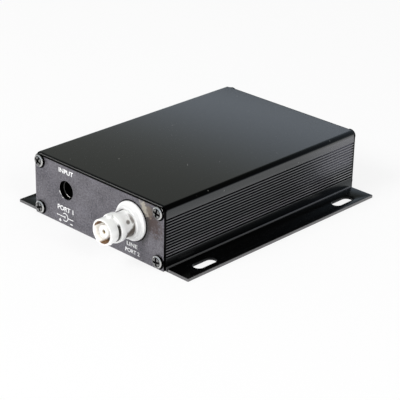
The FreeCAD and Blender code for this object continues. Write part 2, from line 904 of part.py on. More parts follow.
pieces = {
    "case_extrusion": case_extrusion,
    "front_plate": front_plate,
    "rear_plate": rear_plate,
    "front_screws": lambda: screws(front_face, -1),
    "rear_screws": lambda: screws(rear_face, 1),
    "coax_insulator": coax_insulator,
    "coax_shell": coax_shell,
    "coax_dielectric": coax_dielectric,
    "coax_contact": coax_contact,
    "coax_ground_tag": coax_ground_tag,
    "coax_housing": coax_housing,
    "dc_jack_housing": dc_jack_housing,
    "dc_jack_pin": dc_jack_pin,
    "dc_jack_spring": dc_jack_spring,
    "ethernet_shield": port_shield,
    "ethernet_housing": ethernet_housing,
    "ethernet_contacts": ethernet_contacts,
    "ethernet_lights": ethernet_lights,
    "status_light": status_light,
    "light_holder": light_holder,
    "circuit_board": circuit_board,
    "transformer_core": transformer_core,
    "transformer_bobbin": transformer_bobbin,
    "transformer_winding": transformer_winding,
    "capacitors": capacitors,
    "power_inductor": power_inductor,
    "modem_chip": modem_chip,
    "heat_sink": heat_sink,
    "port_chip": port_chip,
    "memory_chip": memory_chip,
    "crystal": crystal,
    "regulator": regulator,
    "surge_arrester": surge_arrester,
}

os.makedirs("parts", exist_ok=True)
for name, build in pieces.items():
    shape = build()
    shape.exportStep(f"parts/{name}.step")
    state = "valid" if shape.isValid() else "not valid"
    print(name, len(shape.Solids), "solids", round(shape.Volume, 1), "mm3", state)
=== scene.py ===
import math

import bpy
from mathutils import Matrix, Vector


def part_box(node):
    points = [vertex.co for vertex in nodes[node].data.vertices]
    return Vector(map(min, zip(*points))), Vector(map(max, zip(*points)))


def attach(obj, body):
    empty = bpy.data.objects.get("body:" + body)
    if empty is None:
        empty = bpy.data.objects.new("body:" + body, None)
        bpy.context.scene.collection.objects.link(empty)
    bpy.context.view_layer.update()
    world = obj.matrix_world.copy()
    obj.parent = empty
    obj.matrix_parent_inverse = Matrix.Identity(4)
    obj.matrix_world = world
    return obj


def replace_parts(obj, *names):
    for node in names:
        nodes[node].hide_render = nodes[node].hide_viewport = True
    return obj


# An ethernet extender: a black anodised extrusion with fixing ears, two end plates and their jacks.
# A size with mm beside it is in metres; the modelling functions take millimetres and multiply by mm.
mm = 0.001
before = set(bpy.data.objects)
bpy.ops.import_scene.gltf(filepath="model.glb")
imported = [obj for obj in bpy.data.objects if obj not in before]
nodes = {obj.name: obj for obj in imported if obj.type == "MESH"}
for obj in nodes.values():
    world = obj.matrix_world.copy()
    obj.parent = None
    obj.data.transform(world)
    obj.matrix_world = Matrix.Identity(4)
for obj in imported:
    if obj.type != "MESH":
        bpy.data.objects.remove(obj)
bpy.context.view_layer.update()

caseLow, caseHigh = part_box("case_extrusion")
plateLow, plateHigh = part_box("front_plate")
insulatorLow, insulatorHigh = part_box("coax_insulator")
dcLow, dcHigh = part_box("dc_jack_housing")
frontFace = plateLow.y
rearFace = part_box("rear_plate")[1].y
coaxAxis = Vector((
    (insulatorLow.x + insulatorHigh.x) / 2, frontFace, (insulatorLow.z + insulatorHigh.z) / 2))
dcAxis = Vector(((dcLow.x + dcHigh.x) / 2, frontFace, coaxAxis.z))

# the plates end just inside the case's walls, the ears reach out from them, and the top corners are round
plateInset = 0.25 * mm
earReach = 10.7 * mm
topCorner = 1.9 * mm
wallSide = plateHigh.x + plateInset

# each plate has a screw near each of its corners
screwInset = {"side": 2.95 * mm, "low": 3.1 * mm, "top": 2.8 * mm}
screwAcross = caseHigh.x - earReach - screwInset["side"]
screwHeights = (screwInset["low"], caseHigh.z - screwInset["top"])
screwMiddle = sum(screwHeights) / 2
screwRise = screwHeights[1] - screwMiddle
print("frame loaded:", len(nodes), "nodes")


# Shader nodes, with maths on sockets written as plain expressions

class Signal:  # an output socket of a finish
    def __init__(self, finish, socket):
        self.finish = finish
        self.socket = socket

    def maths(self, operation, first, second):
        return self.finish.add("ShaderNodeMath", {"operation": operation}, {0: first, 1: second})

    def __add__(self, other):
        return self.maths("ADD", self, other)

    __radd__ = __add__

    def __sub__(self, other):
        return self.maths("SUBTRACT", self, other)

    def __rsub__(self, other):
        return self.maths("SUBTRACT", other, self)

    def __mul__(self, other):
        return self.maths("MULTIPLY", self, other)

    __rmul__ = __mul__

    def __truediv__(self, other):
        return self.maths("DIVIDE", self, other)

    def __pow__(self, other):
        return self.maths("POWER", self, other)

    def over(self, other):  # 1 where this is the larger
        return self.maths("GREATER_THAN", self, other)

    def under(self, other):
        return self.maths("LESS_THAN", self, other)

    def within(self, low, high):
        return self.over(low) * self.under(high)

    def larger(self, other):
        return self.maths("MAXIMUM", self, other)

    def size(self):
        return self.maths("ABSOLUTE", self, 0)


class Finish:  # a material, or the world, while its nodes are made
    def __init__(self, name, tree=None):
        self.material = None
        if tree is None:
            self.material = bpy.data.materials.new(name)
            self.material.use_nodes = True
            tree = self.material.node_tree
        self.tree = tree
        self.tree.nodes.clear()

    def add(self, kind, settings=None, sockets=None, output=0):
        node = self.tree.nodes.new(kind)
        for key, value in (settings or {}).items():
            setattr(node, key, value)
        for key, value in (sockets or {}).items():
            if isinstance(value, Signal):
                self.tree.links.new(value.socket, node.inputs[key])
            else:
                node.inputs[key].default_value = value
        return Signal(self, node.outputs[output] if node.outputs else None)

    def place(self):  # a point on the piece, in metres
        return self.add("ShaderNodeTexCoord", output="Object")

    def axes(self, vector):
        split = self.add("ShaderNodeSeparateXYZ", sockets={0: vector})
        return [Signal(self, split.socket.node.outputs[index]) for index in range(3)]

    def ray(self, kind):  # 1 on rays of this kind
        return self.add("ShaderNodeLightPath", output=f"Is {kind} Ray")

    def stretched(self, scale):
        return self.add("ShaderNodeMapping", sockets={"Vector": self.place(), "Scale": scale})

    def noise(self, vector, scale, detail=3.0, roughness=0.55):
        return self.add("ShaderNodeTexNoise", sockets={
            "Vector": vector, "Scale": scale, "Detail": detail, "Roughness": roughness})

    def between(self, signal, low, high):  # 0 at low and 1 at high, smoothly
        return self.add("ShaderNodeMapRange", {"interpolation_type": "SMOOTHSTEP"}, {
            "Value": signal, "From Min": low, "From Max": high, "To Min": 0.0, "To Max": 1.0})

    def blend(self, mask, first, second):  # two colours
        return self.add("ShaderNodeMix", {"data_type": "RGBA"}, {0: mask, 6: first, 7: second}, output=2)

    def bump(self, height, strength, distance):
        return self.add("ShaderNodeBump", sockets={
            "Height": height, "Strength": strength, "Distance": distance})

    def surface(self, **sockets):
        shader = self.add("ShaderNodeBsdfPrincipled", sockets={
            key.replace("_", " "): value for key, value in sockets.items()})
        self.add("ShaderNodeOutputMaterial", sockets={"Surface": shader})
        return self.material


def shade(red, green, blue):
    return (red, green, blue, 1.0)


def fromCentre(across, upward):  # distance out from a centre
    return (across * across + upward * upward) ** 0.5


def fromScrew(x, z):  # the way to the right and the way up from the nearest screw's axis
    toRight = x - (x.over(0) * 2 - 1) * screwAcross
    toTop = z - screwMiddle - (z.over(screwMiddle) * 2 - 1) * screwRise
    return toRight, toTop


# Finishes

def anodisedFinish():
    look = {
        "black": shade(0.0006, 0.0006, 0.0007), "sheen": shade(0.0020, 0.0020, 0.0023),
        "cut": shade(0.125, 0.120, 0.122), "dust": shade(0.28, 0.28, 0.27),
        "crestLitLow": shade(0.085, 0.083, 0.090), "crestLitHigh": shade(0.035, 0.035, 0.038),
        "root": shade(0.035, 0.034, 0.037), "paleLit": shade(0.17, 0.168, 0.20),
        "grainScale": 2600, "streakScale": 900, "streakShape": (1, 0.012, 1), "cloudScale": 40,
        "dustScale": 700, "dustLevel": (0.785, 0.815), "cutDepth": 0.05 * mm,
        "lineFrom": (0.10, 0.30), "lineTo": (0.74, 0.92), "lineStart": 0.05 * mm, "lineSide": 0.1 * mm,
        "endLine": 0.42 * mm, "cornerDark": 0.95, "endDark": 0.8,
        "wallDepth": 1.0 * mm, "lowWall": 4.7 * mm, "ribStart": 5.0 * mm, "ribEnd": 20.0 * mm,
        "crestDepth": 0.06 * mm, "crestFade": (7.0 * mm, 10.0 * mm),
        "rootReach": 0.6 * mm, "rootRise": 1.5 * mm, "grooveDark": 0.85, "lowDark": 0.8,
        "paleAlong": (12.0 * mm, 46.0 * mm), "paleUp": (6.5 * mm, 13.0 * mm), "paleTop": 22.3 * mm,
        "grooveReflection": 0.85, "wallReflection": 0.30, "roughness": 0.23, "streakRoughness": 0.015,
        "grainRoughness": 0.05, "cutRoughness": 0.25, "refraction": 1.7, "tint": shade(0.94, 0.98, 1.0),
        "bump": 0.045}
    finish = Finish("anodisedBlack")
    grain = finish.noise(finish.place(), look["grainScale"], 2)
    streak = finish.noise(finish.stretched(look["streakShape"]), look["streakScale"], 4)
    cloud = finish.noise(finish.place(), look["cloudScale"], 2)
    dust = finish.noise(finish.place(), look["dustScale"], 1)
    x, y, z = finish.axes(finish.place())
    side = x.size()
    end = y.size()
    wallInside = wallSide - look["wallDepth"]
    wallOutside = wallSide + look["wallDepth"]
    # the ears' sawn ends and their outer edges are cut metal
    rim = end.over(caseHigh.y - look["cutDepth"]) * side.over(wallOutside)
    rim = rim.larger(side.over(caseHigh.x - look["cutDepth"]))
    colour = finish.blend(cloud * 0.6 + grain * 0.4, look["black"], look["sheen"])
    # the rounded top corners and the broken edge at each end are made to mirror nothing, so they read as dark
    # lines: a painted dark reflection along the corners and a painted shadow line at the ends
    cornerX = side - (wallSide - topCorner)
    cornerZ = z - (caseHigh.z - topCorner)
    share = cornerZ / (cornerX + cornerZ)
    onCorner = cornerX.over(look["lineStart"]) * cornerZ.over(look["lineStart"])
    onCorner = onCorner * side.under(wallSide + look["lineSide"])
    cornerLine = onCorner * finish.between(share, *look["lineFrom"])
    cornerLine = cornerLine * (1 - finish.between(share, *look["lineTo"]))
    endLine = end.over(caseHigh.y - look["endLine"]) * z.over(caseHigh.z - topCorner)
    # the ribs' crests carry a painted highlight, most of all low down, and the ear's root a thin painted highlight
    # line
    crest = side.within(wallSide - look["crestDepth"], wallSide + look["crestDepth"])
    crest = crest * z.within(look["ribStart"], look["ribEnd"])
    crestHighlight = finish.blend(finish.between(z, *look["crestFade"]), look["crestLitLow"], look["crestLitHigh"])
    colour = finish.blend(crest, colour, crestHighlight)
    nearRoot = side.within(wallSide, wallSide + look["rootReach"]) * z.under(look["rootRise"])
    colour = finish.blend(nearRoot, colour, look["root"])
    # the grooves carry painted shade and the ears and the foot of the wall a painted dark reflection, and towards
    # the rear a painted pale reflection lies over the wall
    inGroove = side.within(wallInside, wallSide - look["crestDepth"])
    inGroove = inGroove * z.within(look["lowWall"], look["ribEnd"])
    lowDown = z.under(look["lowWall"]) * side.over(wallInside) * (1 - nearRoot) * (1 - rim)
    wallFace = side.within(wallInside, wallOutside) * z.under(look["paleTop"])
    paleReflection = finish.between(y, *look["paleAlong"]) * finish.between(z, *look["paleUp"])
    paleReflection = paleReflection * (inGroove * look["grooveReflection"]).larger(wallFace * look["wallReflection"])
    paintedDark = (inGroove * look["grooveDark"]).larger(lowDown * look["lowDark"]) * (1 - paleReflection)
    paintedDark = paintedDark.larger(cornerLine * look["cornerDark"]).larger(endLine * look["endDark"])
    colour = finish.blend(paleReflection, colour, look["paleLit"])
    colour = finish.blend(rim, colour, look["cut"])
    colour = finish.blend(finish.between(dust, *look["dustLevel"]), colour, look["dust"])
    roughness = streak * look["streakRoughness"] + grain * look["grainRoughness"]
    roughness = roughness + rim * look["cutRoughness"] + look["roughness"]
    return finish.surface(
        Base_Color=colour, Roughness=roughness, Metallic=paintedDark, IOR=look["refraction"],
        Specular_Tint=look["tint"], Normal=finish.bump(grain * 0.8 + streak * 0.2, look["bump"], 0.02 * mm))


def plateFinish():
    look = {
        "dark": shade(0.08, 0.076, 0.086), "light": shade(0.25, 0.24, 0.268),
        "edge": shade(0.003, 0.003, 0.003), "bareGlint": shade(0.8, 0.79, 0.77), "ledgeHighlight": shade(0.36, 0.36, 0.36),
        "beige": shade(0.56, 0.52, 0.44), "brown": shade(0.090, 0.062, 0.056),
        "tan": shade(0.30, 0.25, 0.20), "shade": shade(0.035, 0.031, 0.030),
        "grainScale": 1500, "patchScale": 160, "chipScale": 900, "contrast": (0.3, 0.7),
        "holeRadius": 3.675 * mm, "rimWidth": 0.42 * mm, "rimSide": 4.7 * mm, "rimChips": 0.50,
        "cornerStart": (0.3 * mm, 0.2 * mm), "cornerBand": (1.3 * mm, 1.75 * mm), "cornerChips": 0.41,
        "discShadow": (7.0 * mm, 7.75 * mm), "shadeReach": (8.0 * mm, 10.4 * mm), "shadeSide": 5.0 * mm,
        "shadeTop": 4.0 * mm, "shadeDepth": 0.55, "slant": (0.507, 0.862),
        "screwReach": 2.9 * mm, "screwSide": 0.8 * mm, "screwLean": 0.3, "skin": 0.09 * mm,
        "topLine": 0.42 * mm, "ledgeDepth": 0.02 * mm, "ledgeStart": 0.55 * mm,
        "roughness": 0.42, "metal": 0.55, "darkMetal": 0.45}
    reflectionSpots = {
        "brown": {"centre": (10.2, 3.0), "reach": (7.0, 5.2), "fade": (0.3, 1.15), "strength": 0.85},
        "tan": {"centre": (8.6, 6.6), "reach": (3.6, 2.8), "fade": (0.1, 1.0), "strength": 0.6},
        "beige": {"centre": (5.9, 7.0), "reach": (3.5, 1.5), "fade": (0.2, 1.2), "strength": 0.9}}
    finish = Finish("plateBlack")
    grain = finish.noise(finish.place(), look["grainScale"], 3, 0.7)
    patch = finish.noise(finish.place(), look["patchScale"], 3)
    chips = finish.noise(finish.place(), look["chipScale"], 2)
    x, y, z = finish.axes(finish.place())
    onFront = y.under(0)
    mottle = finish.between(grain * 0.75 + patch * 0.25, *look["contrast"])
    colour = finish.blend(mottle, look["dark"], look["light"])
    # bare metal shows in chips at the power jack's hole, on its lower left, and at the plate's upper right, where
    # the chips also stand as a painted highlight on the hole's rim and the rounded corner
    nearRim = fromCentre(x - dcAxis.x, z - dcAxis.z).under(look["holeRadius"] + look["rimWidth"])
    lowerLeft = (dcAxis.x - x) + (dcAxis.z - z)
    cornerX = x - (plateHigh.x - topCorner)
    cornerZ = z - (plateHigh.z - topCorner)
    nearCorner = cornerX.over(look["cornerStart"][0]) * cornerZ.over(look["cornerStart"][1])
    nearCorner = nearCorner * fromCentre(cornerX, cornerZ).within(*look["cornerBand"])
    chipsAndGlints = nearRim * lowerLeft.over(look["rimSide"]) * chips.over(look["rimChips"])
    chipsAndGlints = chipsAndGlints.larger(nearCorner * chips.over(look["cornerChips"]))
    chipsAndGlints = chipsAndGlints * y.under(frontFace + look["skin"])
    # beside the jack's disc the plate carries painted reflections of the jack, brown on its right and beige and tan
    # on its upper right, and a painted shade close to the disc on its right
    across = x - coaxAxis.x
    upward = z - coaxAxis.z
    fromDisc = fromCentre(across, upward)
    uneven = (patch - 0.5) * 0.8 + (chips - 0.5) * 2.2
    level, steep = look["slant"]

    def paintReflection(name):
        spot = reflectionSpots[name]
        right = across - spot["centre"][0] * mm
        up = upward - spot["centre"][1] * mm
        along = (right * level - up * steep) / (spot["reach"][0] * mm)
        off = (right * steep + up * level) / (spot["reach"][1] * mm)
        mask = (1 - finish.between(fromCentre(along, off) + uneven, *spot["fade"])) * onFront
        return finish.blend(mask * spot["strength"], colour, look[name])

    colour = paintReflection("brown")
    nearDisc = 1 - finish.between(fromDisc, *look["shadeReach"])
    nearDisc = nearDisc * across.over(look["shadeSide"]) * upward.under(look["shadeTop"]) * onFront
    colour = finish.blend(nearDisc * look["shadeDepth"], colour, look["shade"])
    colour = paintReflection("tan")
    colour = paintReflection("beige")
    # a painted shadow line runs round the disc, and each screw head has a painted shadow on the plate to its right
    toRight, toTop = fromScrew(x, z)
    shaded = fromCentre(toRight, toTop).under(look["screwReach"])
    shaded = shaded * (toRight - toTop * look["screwLean"]).over(look["screwSide"])
    shaded = shaded.larger(fromDisc.within(*look["discShadow"])) * onFront
    # the plate's surfaces behind its face, such as its edges and hole walls, and a band along its top are painted
    # near black for shade, and the rear part of its top edge carries a painted highlight
    behindSkin = y.size().under(rearFace - look["skin"])
    dark = shaded.larger(behindSkin).larger(z.over(plateHigh.z - look["topLine"]))
    ledgeHighlight = z.over(plateHigh.z - look["ledgeDepth"]) * y.size().under(rearFace - look["ledgeStart"])
    colour = finish.blend(dark, colour, look["edge"])
    colour = finish.blend(ledgeHighlight, colour, look["ledgeHighlight"])
    colour = finish.blend(chipsAndGlints, colour, look["bareGlint"])
    metal = dark * (1 - ledgeHighlight) * (1 - chipsAndGlints) * look["darkMetal"] + look["metal"]
    return finish.surface(
        Base_Color=colour, Roughness=grain * 0.12 + look["roughness"], Metallic=metal,
        Normal=finish.bump(grain, 0.25, 0.03 * mm))


def nickelFinish():
    look = {
        "plate": shade(1.0, 1.0, 0.99), "paleLit": shade(1.0, 0.97, 0.90), "warmReflection": shade(0.17, 0.075, 0.018),
        "none": shade(0, 0, 0), "glow": shade(0.2, 0.2, 0.195),
        "darkReflection": shade(0.10, 0.078, 0.062), "shadow": shade(0.035, 0.03, 0.028),
        "ringScale": 4200, "ringShape": (0.05, 1, 0.05), "blotScale": 520, "mouthRadius": 4.15 * mm,
        "lowReflection": (2.1 * mm, 3.3 * mm), "lowWarmSide": (-2.0 * mm, -0.6 * mm), "warmEdge": 3.0 * mm,
        "highReflection": (2.9 * mm, 3.5 * mm), "highWarmSide": -0.6 * mm,
        "neck": (3.0 * mm, 7.1 * mm), "neckRadius": 5.0 * mm, "neckRight": 1.0 * mm,
        "darkTop": (-0.6 * mm, 1.0 * mm), "darkEdge": 2.5 * mm, "darkMiddle": 4.7 * mm, "darkSlope": 0.9,
        "spotStrength": 0.85, "topShadow": (4.45 * mm, 4.6 * mm),
        "relief": (9.4 * mm, 10.5 * mm), "reliefRadius": 4.8 * mm, "reliefShadow": (0.8 * mm, 2.4 * mm),
        "metal": 0.28, "roughness": 0.22}
    reflectionSpots = [
        {"up": 2.9 * mm, "out": 3.6 * mm, "tall": 1.5 * mm, "long": 0.9 * mm, "uneven": 1.5, "fade": (0.3, 1.3)},
        {"up": 2.6 * mm, "out": 5.6 * mm, "tall": 0.7 * mm, "long": 0.9 * mm, "uneven": 0.0, "fade": (0.2, 1.5)}]
    finish = Finish("nickelPlate")
    rings = finish.noise(finish.stretched(look["ringShape"]), look["ringScale"], 2)
    blot = finish.noise(finish.place(), look["blotScale"], 2)
    x, y, z = finish.axes(finish.place())
    out = frontFace - y
    right = x - coaxAxis.x
    up = z - coaxAxis.z
    fromHub = fromCentre(right, up)
    # inside the mouth the metal is painted pale and given a painted glow for the light on it, with a warm painted
    # reflection low down and a small one at its upper left
    inside = fromHub.under(look["mouthRadius"])
    lowReflection = finish.between(right * 0.35 - up + (blot - 0.5) * look["warmEdge"], *look["lowReflection"])
    lowReflection = lowReflection * finish.between(right, *look["lowWarmSide"])
    highReflection = finish.between(up - right * 0.5, *look["highReflection"]) * right.under(look["highWarmSide"])
    warmReflected = lowReflection.larger(highReflection)
    colour = finish.blend(inside, look["plate"], finish.blend(warmReflected, look["paleLit"], look["warmReflection"]))
    glow = finish.blend(inside * (1 - warmReflected), look["none"], look["glow"])
    # the neck behind the ring carries a painted dark reflection on its right, low down and in two spots higher up
    onNeck = out.within(*look["neck"]) * fromHub.under(look["neckRadius"])
    darkHeight = up + (blot - 0.5) * look["darkEdge"] + (out - look["darkMiddle"]) * look["darkSlope"]
    darkReflected = 1 - finish.between(darkHeight, *look["darkTop"])
    for spot in reflectionSpots:
        fromSpot = ((up - spot["up"]) / spot["tall"]) ** 2 + ((out - spot["out"]) / spot["long"]) ** 2
        fromSpot = fromSpot + (blot - 0.5) * spot["uneven"]
        darkReflected = darkReflected.larger((1 - finish.between(fromSpot, *spot["fade"])) * look["spotStrength"])
    darkReflected = darkReflected * onNeck * right.over(look["neckRight"])
    # the relief before the ring has a painted shadow on its lower right, and a painted shadow line runs along the
    # neck's top
    onRelief = out.within(*look["relief"]) * fromHub.under(look["reliefRadius"])
    shadowed = onRelief * finish.between(right - up * 0.75, *look["reliefShadow"])
    shadowed = shadowed.larger(onNeck * finish.between(up * 0.833 - right * 0.553, *look["topShadow"]))
    colour = finish.blend(darkReflected, colour, look["darkReflection"])
    colour = finish.blend(shadowed, colour, look["shadow"])
    return finish.surface(
        Base_Color=colour, Emission_Color=glow, Emission_Strength=1.0, Metallic=(1 - inside) * look["metal"],
        Roughness=rings * 0.1 + blot * 0.06 + look["roughness"],
        Normal=finish.bump(rings, 0.14, 0.01 * mm))


def socketFinish():
    look = {
        "black": shade(0.004, 0.004, 0.004), "lip": shade(0.06, 0.06, 0.058),
        "glint": shade(0.75, 0.74, 0.70), "lipBand": (3.1 * mm, 3.32 * mm), "lipDepth": 0.16 * mm,
        "glintDrop": 2.0 * mm, "glintSide": (-1.9 * mm, 0.0 * mm), "metal": 0.8, "roughness": 0.4}
    finish = Finish("socketBlack")
    grain = finish.noise(finish.place(), 1800, 2)
    x, y, z = finish.axes(finish.place())
    right = x - dcAxis.x
    down = dcAxis.z - z
    # the mouth's lip carries a painted highlight, and a painted glint lies low on it
    lip = fromCentre(right, down).within(*look["lipBand"]) * y.under(dcLow.y + look["lipDepth"])
    glint = lip * down.over(look["glintDrop"]) * right.within(*look["glintSide"])
    colour = finish.blend(lip, look["black"], look["lip"])
    colour = finish.blend(glint, colour, look["glint"])
    return finish.surface(
        Base_Color=colour, Metallic=(1 - lip) * look["metal"], Roughness=grain * 0.12 + look["roughness"],
        Normal=finish.bump(grain, 0.1, 0.02 * mm))


def screwFinish():
    look = {
        "face": shade(0.17, 0.17, 0.17), "worn": shade(0.27, 0.27, 0.265), "wear": (0.35, 0.7),
        "highlight": shade(0.55, 0.55, 0.54), "dark": shade(0.004, 0.004, 0.004),
        "crown": 1.2 * mm, "rim": 0.6 * mm, "recess": 1.75 * mm, "recessDepth": 0.2 * mm,
        "crescent": 1.85 * mm, "crescentLean": 0.8, "crescentFrom": -0.9 * mm}
    finish = Finish("screwSteel")
    grain = finish.noise(finish.place(), 1400, 3)
    x, y, z = finish.axes(finish.place())
    toRight, toTop = fromScrew(x, z)
    fromHub = fromCentre(toRight, toTop)
    proud = y.size() - rearFace
    recessed = fromHub.under(look["recess"]) * proud.under(look["crown"] - look["recessDepth"])
    colour = finish.blend(finish.between(grain, *look["wear"]), look["face"], look["worn"])
    # a painted highlight crescent lies on the head's upper right rim, and the cross recess and the head's foot are
    # painted dark for shade
    crescent = (toRight + toTop * look["crescentLean"]).over(look["crescentFrom"])
    colour = finish.blend(fromHub.over(look["crescent"]) * crescent, colour, look["highlight"])
    dark = recessed.larger(proud.under(look["rim"]))
    colour = finish.blend(dark, colour, look["dark"])
    return finish.surface(
        Base_Color=colour, Metallic=dark * 0.2 + 0.8, Roughness=grain * 0.1 + 0.16,
        Normal=finish.bump(grain, 0.1, 0.02 * mm))


def plasticFinish(name, dark, light, roughness, grainScale=1800, bumpStrength=0.1):
    finish = Finish(name)
    grain = finish.noise(finish.place(), grainScale, 2)
    cloud = finish.noise(finish.place(), grainScale / 15, 2)
    colour = finish.blend(grain * 0.4 + cloud * 0.6, dark, light)
    return finish.surface(
        Base_Color=colour, Roughness=grain * 0.12 + roughness - 0.06,
        Normal=finish.bump(grain, bumpStrength, 0.02 * mm))


def metalFinish(name, dark, light, roughness, stretch=(1, 1, 1), grainScale=1500):
    finish = Finish(name)
    grain = finish.noise(finish.stretched(stretch), grainScale, 3)
    cloud = finish.noise(finish.place(), 200, 2)
    colour = finish.blend(grain * 0.6 + cloud * 0.4, dark, light)
    return finish.surface(
        Base_Color=colour, Metallic=1.0, Roughness=grain * 0.16 + roughness - 0.08,
        Normal=finish.bump(grain, 0.12, 0.02 * mm))


finishes = {
    "anodised": anodisedFinish(),
    "plate": plateFinish(),
    "nickel": nickelFinish(),
    "screw": screwFinish(),
    "socket": socketFinish(),
    "ink": plasticFinish("legendInk", shade(0.94, 0.94, 0.95), shade(1.0, 1.0, 1.0), 0.6, 3000, 0.2),
    "whitePlastic": plasticFinish("whitePlastic", shade(0.86, 0.86, 0.86), shade(0.91, 0.91, 0.91), 0.34),
    "whiteCore": plasticFinish("whiteCore", shade(0.86, 0.86, 0.85), shade(0.92, 0.92, 0.91), 0.42),
    "blackPlastic": plasticFinish("blackPlastic", shade(0.012, 0.012, 0.012), shade(0.022, 0.022, 0.022), 0.38),
    "gold": metalFinish("goldPlate", shade(0.78, 0.52, 0.16), shade(0.92, 0.68, 0.28), 0.22),
    "tin": metalFinish("tinPlate", shade(0.62, 0.62, 0.61), shade(0.78, 0.78, 0.77), 0.28, (1, 0.15, 1)),
    "board": plasticFinish("boardGreen", shade(0.008, 0.09, 0.035), shade(0.012, 0.15, 0.055), 0.32, 600),
    "ferrite": plasticFinish("ferriteGrey", shade(0.03, 0.03, 0.033), shade(0.07, 0.07, 0.075), 0.6),
    "copper": metalFinish("copperWire", shade(0.45, 0.16, 0.06), shade(0.70, 0.32, 0.15), 0.3, (1, 1, 6)),
    "can": metalFinish("canAluminium", shade(0.6, 0.6, 0.62), shade(0.78, 0.78, 0.8), 0.3, (1, 1, 0.2)),
    "chip": plasticFinish("chipBlack", shade(0.014, 0.014, 0.015), shade(0.03, 0.03, 0.031), 0.55),
    "sink": metalFinish("sinkAluminium", shade(0.40, 0.40, 0.41), shade(0.58, 0.58, 0.59), 0.35, (1, 0.1, 1)),
    "ceramic": plasticFinish("arresterCeramic", shade(0.62, 0.58, 0.55), shade(0.78, 0.74, 0.70), 0.4),
    "lens": plasticFinish("lensGreen", shade(0.015, 0.11, 0.03), shade(0.04, 0.20, 0.06), 0.14, 1200, 0.2),
}
print("finishes made:", len(finishes))

nodeFinishes = {
    "anodised": ["case_extrusion"],
    "plate": ["front_plate", "rear_plate"],
    "screw": ["front_screws", "rear_screws"],
    "nickel": ["coax_shell"],
    "whitePlastic": ["coax_insulator"],
    "whiteCore": ["coax_dielectric"],
    "gold": ["coax_contact", "ethernet_contacts"],
    "tin": ["coax_ground_tag", "dc_jack_pin", "dc_jack_spring", "ethernet_shield", "crystal"],
    "socket": ["dc_jack_housing"],
    "blackPlastic": ["coax_housing", "ethernet_housing", "light_holder", "transformer_bobbin"],
    "lens": ["ethernet_lights", "status_light"],
    "board": ["circuit_board"],
    "ferrite": ["transformer_core", "power_inductor"],
    "copper": ["transformer_winding"],
    "can": ["capacitors"],
    "chip": ["modem_chip", "port_chip", "memory_chip", "regulator"],
    "sink": ["heat_sink"],
    "ceramic": ["surge_arrester"],
}
for finishName, names in nodeFinishes.items():
    for name in names:
        nodes[name].data.materials.clear()
        nodes[name].data.materials.append(finishes[finishName])


# Modelling steps that several pieces share

def startClean():
    if bpy.context.object and bpy.context.object.mode != "OBJECT":
        bpy.ops.object.mode_set(mode="OBJECT")
    bpy.ops.object.select_all(action="DESELECT")


def settle(piece, name, finish, smoothDegrees=32):
    # the place goes into the mesh, and the piece gets its name, finish and body
    startClean()
    piece.select_set(True)
    bpy.context.view_layer.objects.active = piece
    bpy.ops.object.transform_apply(location=True, rotation=True, scale=True)
    bpy.ops.object.shade_smooth_by_angle(angle=math.radians(smoothDegrees))
    piece.name = name
    piece.data.name = name
    piece.data.materials.clear()
    piece.data.materials.append(finishes[finish])
    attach(piece, "root")
    return piece


def bevelled(piece, width, segments=2, degrees=30):
    bpy.context.view_layer.objects.active = piece
    bevel = piece.modifiers.new("softEdges", "BEVEL")
    bevel.width = width * mm
    bevel.segments = segments
    bevel.limit_method = "ANGLE"
    bevel.angle_limit = math.radians(degrees)
    bevel.use_clamp_overlap = False
    bpy.ops.object.modifier_apply(modifier=bevel.name)


def turned(profile, centre, outward=-1, sides=96):
    # a ring of edges is pulled along Y through each (distance, radius) of the profile, and back to its start
    startClean()
    distance, radius = profile[0]
    at = Vector((centre.x, centre.y + outward * distance * mm, centre.z))
    bpy.ops.mesh.primitive_circle_add(
        vertices=sides, radius=radius * mm, location=at, rotation=(math.radians(90), 0, 0))
    piece = bpy.context.object
    bpy.ops.object.transform_apply(location=True, rotation=True, scale=True)
    bpy.ops.object.mode_set(mode="EDIT")
    bpy.ops.mesh.select_all(action="SELECT")
    for nextDistance, nextRadius in profile[1:] + profile[:1]:
        travel = outward * (nextDistance - distance) * mm
        bpy.ops.mesh.extrude_edges_move(TRANSFORM_OT_translate={"value": (0, travel, 0)})
        grow = nextRadius / radius
        bpy.ops.transform.resize(value=(grow, 1, grow), center_override=(centre.x, centre.y, centre.z))
        distance, radius = nextDistance, nextRadius
    bpy.ops.mesh.select_all(action="SELECT")
    bpy.ops.mesh.remove_doubles(threshold=0.002 * mm)
    bpy.ops.mesh.normals_make_consistent(inside=False)
    bpy.ops.object.mode_set(mode="OBJECT")
    return piece


